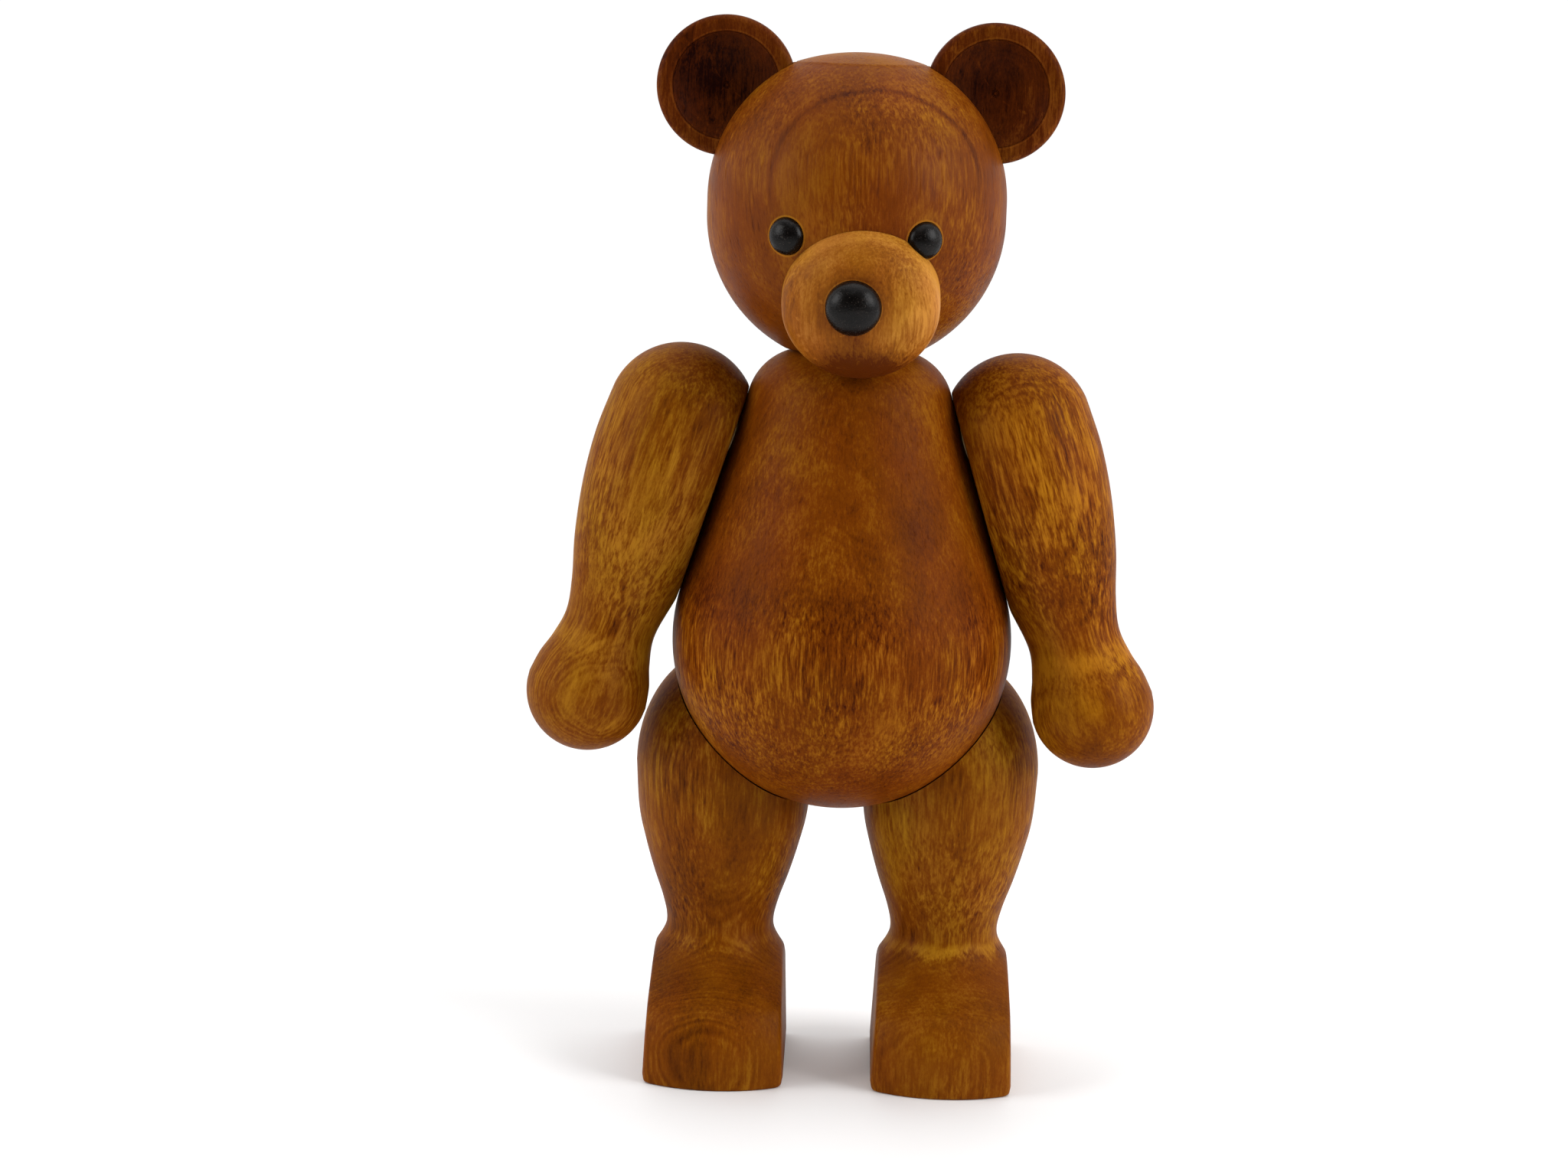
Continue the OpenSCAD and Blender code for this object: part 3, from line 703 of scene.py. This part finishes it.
for side, s in SIDES:
    arm_place = unmirrored(AT_SHOULDER, s)
    arm_wood = wood(
        f"arm_wood_{side}", arm_place, 6.0 + s * 1.3, (5 * s - 8, 39),
        colours=RED_LIMB_STAIN if s > 0 else LIMB_STAIN, tone=0.53 - 0.02 * s, gap=1.9,
        fine=0.9, coat=0.6, fibre=1.3, pore=0.2, streak=2.0, wear=0.2,
        grain=[(-40, 0.6 + 0.2 * s), (-30, 0.7 + 0.2 * s), (-22, 1.0), (-10, 1.0), (9, 0.7)],
        figure=[(-40, 1.1 - 0.5 * s), (-29, 1.0 - 0.4 * s), (-22, 0.6), (9, 0.5)],
        caps=[(arm_place @ shift(0, -1, z) @ spin("X", 90), radius, 4.0, strength)
              for z, radius, strength in ((-9, 4.6, 0.07 - 0.02 * s), (-15, 4.6, 0.06 - 0.03 * s),
                                          (-32, 4.0, 0.08 + 0.04 * s))],
        zones=[(-40, -0.05), (-33, 0.03 + 0.03 * s), (-27, 0.12 + 0.02 * s), (-20, 0.01 - 0.02 * s),
               (-8, 0.06 - 0.02 * s), (2, 0.03 + 0.02 * s), (9, -0.08)],
        bands=[(-27.0, 2.2, 0.16)])
    piece(f"arm_turned_{side}",
          turned(arm_outline(), side_of(AT_SHOULDER, s), 288, arm_shape),
          f"arm_{side}_body", f"arm_{side}", arm_wood,
          [rod(PEG_D / 2 + GLUE_GAP, 4, SHOULDER_X / math.cos(TAPER) - ARM_FLAT + 9,
               side_of(AT_SHOULDER_PEG, s))])

    leg_wood = wood(
        f"leg_wood_{side}", unmirrored(AT_LEG, s), 9.0 + s * 1.7, (2 * s, 42),
        colours=LIMB_STAIN, tone=0.462 + 0.05 * s, gap=1.7, fine=0.9, coat=0.6,
        fibre=1.2, pore=0.25, streak=1.6, wear=0.2,
        grain=[(0, 0.55), (5, 0.4), (12, 0.3), (17, 0.9), (36, 1.0), (48, 0.4)],
        figure=[(0, 1.1), (6, 0.9), (12, 0.6), (16, 0.8), (48, 0.7)], grit=0.8,
        # The zones at 42 and 48 mm paint the tops of the thighs lighter: a painted highlight
        zones=[(0, 0.02), (12, -0.03), (16, 0.01), (24, 0.03), (32, 0.05), (38, 0.02), (42, 0.10),
               (48, 0.20)],
        bands=[(14.8, 1.1, 0.16 + 0.06 * s)])
    piece(f"leg_turned_{side}",
          turned(leg_outline(), side_of(AT_LEG, s), 360, foot_shape),
          f"leg_{side}_body", f"leg_{side}", leg_wood,
          [turned(arc(0, 0, BELLY_R + JOINT_GAP, BELLY_R + JOINT_GAP, -90, 90, 128),
                  side_of(AT_BELLY, s), 256),
           rod(PEG_D / 2 + GLUE_GAP, 4, BELLY_R + JOINT_GAP + 7, side_of(AT_HIP_PEG, s))])

# The hidden pegs, dowel and cords keep their CAD shapes.
PEG_PLACES = {
    "muzzle_dowel": AT_MUZZLE, "neck_peg": AT_AXIS,
    "shoulder_peg_left": AT_SHOULDER_PEG, "shoulder_peg_right": unmirrored(AT_SHOULDER_PEG, -1),
    "hip_peg_left": AT_HIP_PEG, "hip_peg_right": unmirrored(AT_HIP_PEG, -1)}
for k, (name, places) in enumerate(PEG_PLACES.items()):
    material = wood(f"{name}_wood", places, 12.0 + k, (9, 3), colours=BEECH, tone=0.5, gap=1.1,
                    fibre=0.8, rough=0.6)
    nodes[name].data.materials.clear()
    nodes[name].data.materials.append(material)
cord_material = elastic("elastic_cord")
for name in ("neck_elastic", "shoulder_elastic", "hip_elastic"):
    nodes[name].data.materials.clear()
    nodes[name].data.materials.append(cord_material)


# ---- Floor, light and camera ----
def floor_pale():
    """A pale floor that melts into the white room as it goes away from the bear, in metres."""
    near, far = 0.15, 0.60
    n = Net("floor_pale")
    p = n.node("ShaderNodeTexCoord").outputs["Object"]
    soft = n.noise(p, (60, 60, 60), (0, 0, 0), 2.0)
    n.put(n.shader.inputs["Base Color"],
          n.mix(n.math("MULTIPLY", soft, 0.04), (0.93, 0.93, 0.93), (0.8, 0.8, 0.8)))
    n.put(n.shader.inputs["Roughness"], 0.6)
    n.put(n.shader.inputs["Alpha"],
          n.ramp(n.span(n.distance(p), near, far), [(0, 1.0), (1, 0.0)], smooth=True))
    return n.material


def floor():
    bm = bmesh.new()
    size = 0.7
    corners = ((-1, -1), (1, -1), (1, 1), (-1, 1))
    bm.faces.new([bm.verts.new((x * size, y * size, 0)) for x, y in corners])
    mesh = bpy.data.meshes.new("floor")
    bm.to_mesh(mesh)
    bm.free()
    obj = new_object("floor", mesh)
    obj.data.materials.append(floor_pale())


def area_light(name, place, target, size, power):
    data = bpy.data.lights.new(name, "AREA")
    data.shape = "RECTANGLE"
    data.size, data.size_y = size
    data.energy = power
    obj = new_object(name, data)
    obj.location = place
    obj.rotation_mode = "QUATERNION"
    obj.rotation_quaternion = (Vector(target) - Vector(place)).to_track_quat("-Z", "Y")
    return obj


def studio_world():
    """A white room behind the bear, dimmer to its sides and darkest in front of it. The camera
    sees plain white."""
    world = bpy.data.worlds.new("studio")
    world.use_nodes = True
    tree = world.node_tree
    parts = tree.nodes.new("ShaderNodeSeparateXYZ")
    tree.links.new(tree.nodes.new("ShaderNodeTexCoord").outputs["Generated"], parts.inputs[0])
    behind = tree.nodes.new("ShaderNodeMath")
    behind.inputs[1].default_value = 0.5
    tree.links.new(parts.outputs[1], behind.inputs[0])
    ramp = tree.nodes.new("ShaderNodeValToRGB")
    tree.links.new(behind.outputs[0], ramp.inputs[0])
    for element, (position, level) in zip(ramp.color_ramp.elements, ((0.20, 0.12), (0.72, 1.05))):
        element.position = position
        element.color = (level, level, level, 1)
    seen = tree.nodes.new("ShaderNodeMix")
    seen.data_type = "RGBA"
    tree.links.new(tree.nodes.new("ShaderNodeLightPath").outputs["Is Camera Ray"], seen.inputs[0])
    tree.links.new(ramp.outputs[0], seen.inputs[6])
    seen.inputs[7].default_value = (1, 1, 1, 1)
    tree.links.new(seen.outputs[2], tree.nodes["Background"].inputs[0])
    tree.nodes["Background"].inputs[1].default_value = 1.05
    bpy.context.scene.world = world


floor()
studio_world()
bpy.context.scene.view_settings.view_transform = "Standard"

middle = Vector((0, 0, 0.06))
area_light("top_box", (0.05, -0.12, 0.80), middle, (0.9, 0.9), 2.6)
area_light("right_box", (0.80, -0.36, 0.42), middle, (0.55, 0.65), 6.6)
area_light("left_box", (-0.80, -0.30, 0.38), middle, (0.50, 0.60), 4.5)

# The camera looks from just above the bear's middle, turned aside by the aim, in degrees.
CAMERA_AWAY, CAMERA_RISE, CAMERA_ROLL = 0.375, 9.5, 2.0
LENS_MM, SENSOR_MM = 76.4, 36.0
AIM_RIGHT, AIM_UP = 1.0413, 0.5075
camera_data = bpy.data.cameras.new("camera")
camera_data.lens = LENS_MM
camera_data.sensor_width = SENSOR_MM
camera_data.clip_start, camera_data.clip_end = 0.01, 20
camera = new_object("camera", camera_data)
rise = math.radians(CAMERA_RISE)
back = Vector((0, -math.cos(rise), math.sin(rise)))
camera.rotation_mode = "QUATERNION"
camera.location = middle + back * CAMERA_AWAY
aim = Vector((math.tan(math.radians(AIM_RIGHT)), math.tan(math.radians(AIM_UP)), -1))
aside = aim.rotation_difference(Vector((0, 0, -1)))
camera.rotation_quaternion = (
    (-back).to_track_quat("-Z", "Y")
    @ Matrix.Rotation(math.radians(CAMERA_ROLL), 3, "Z").to_quaternion() @ aside)
bpy.context.scene.camera = camera
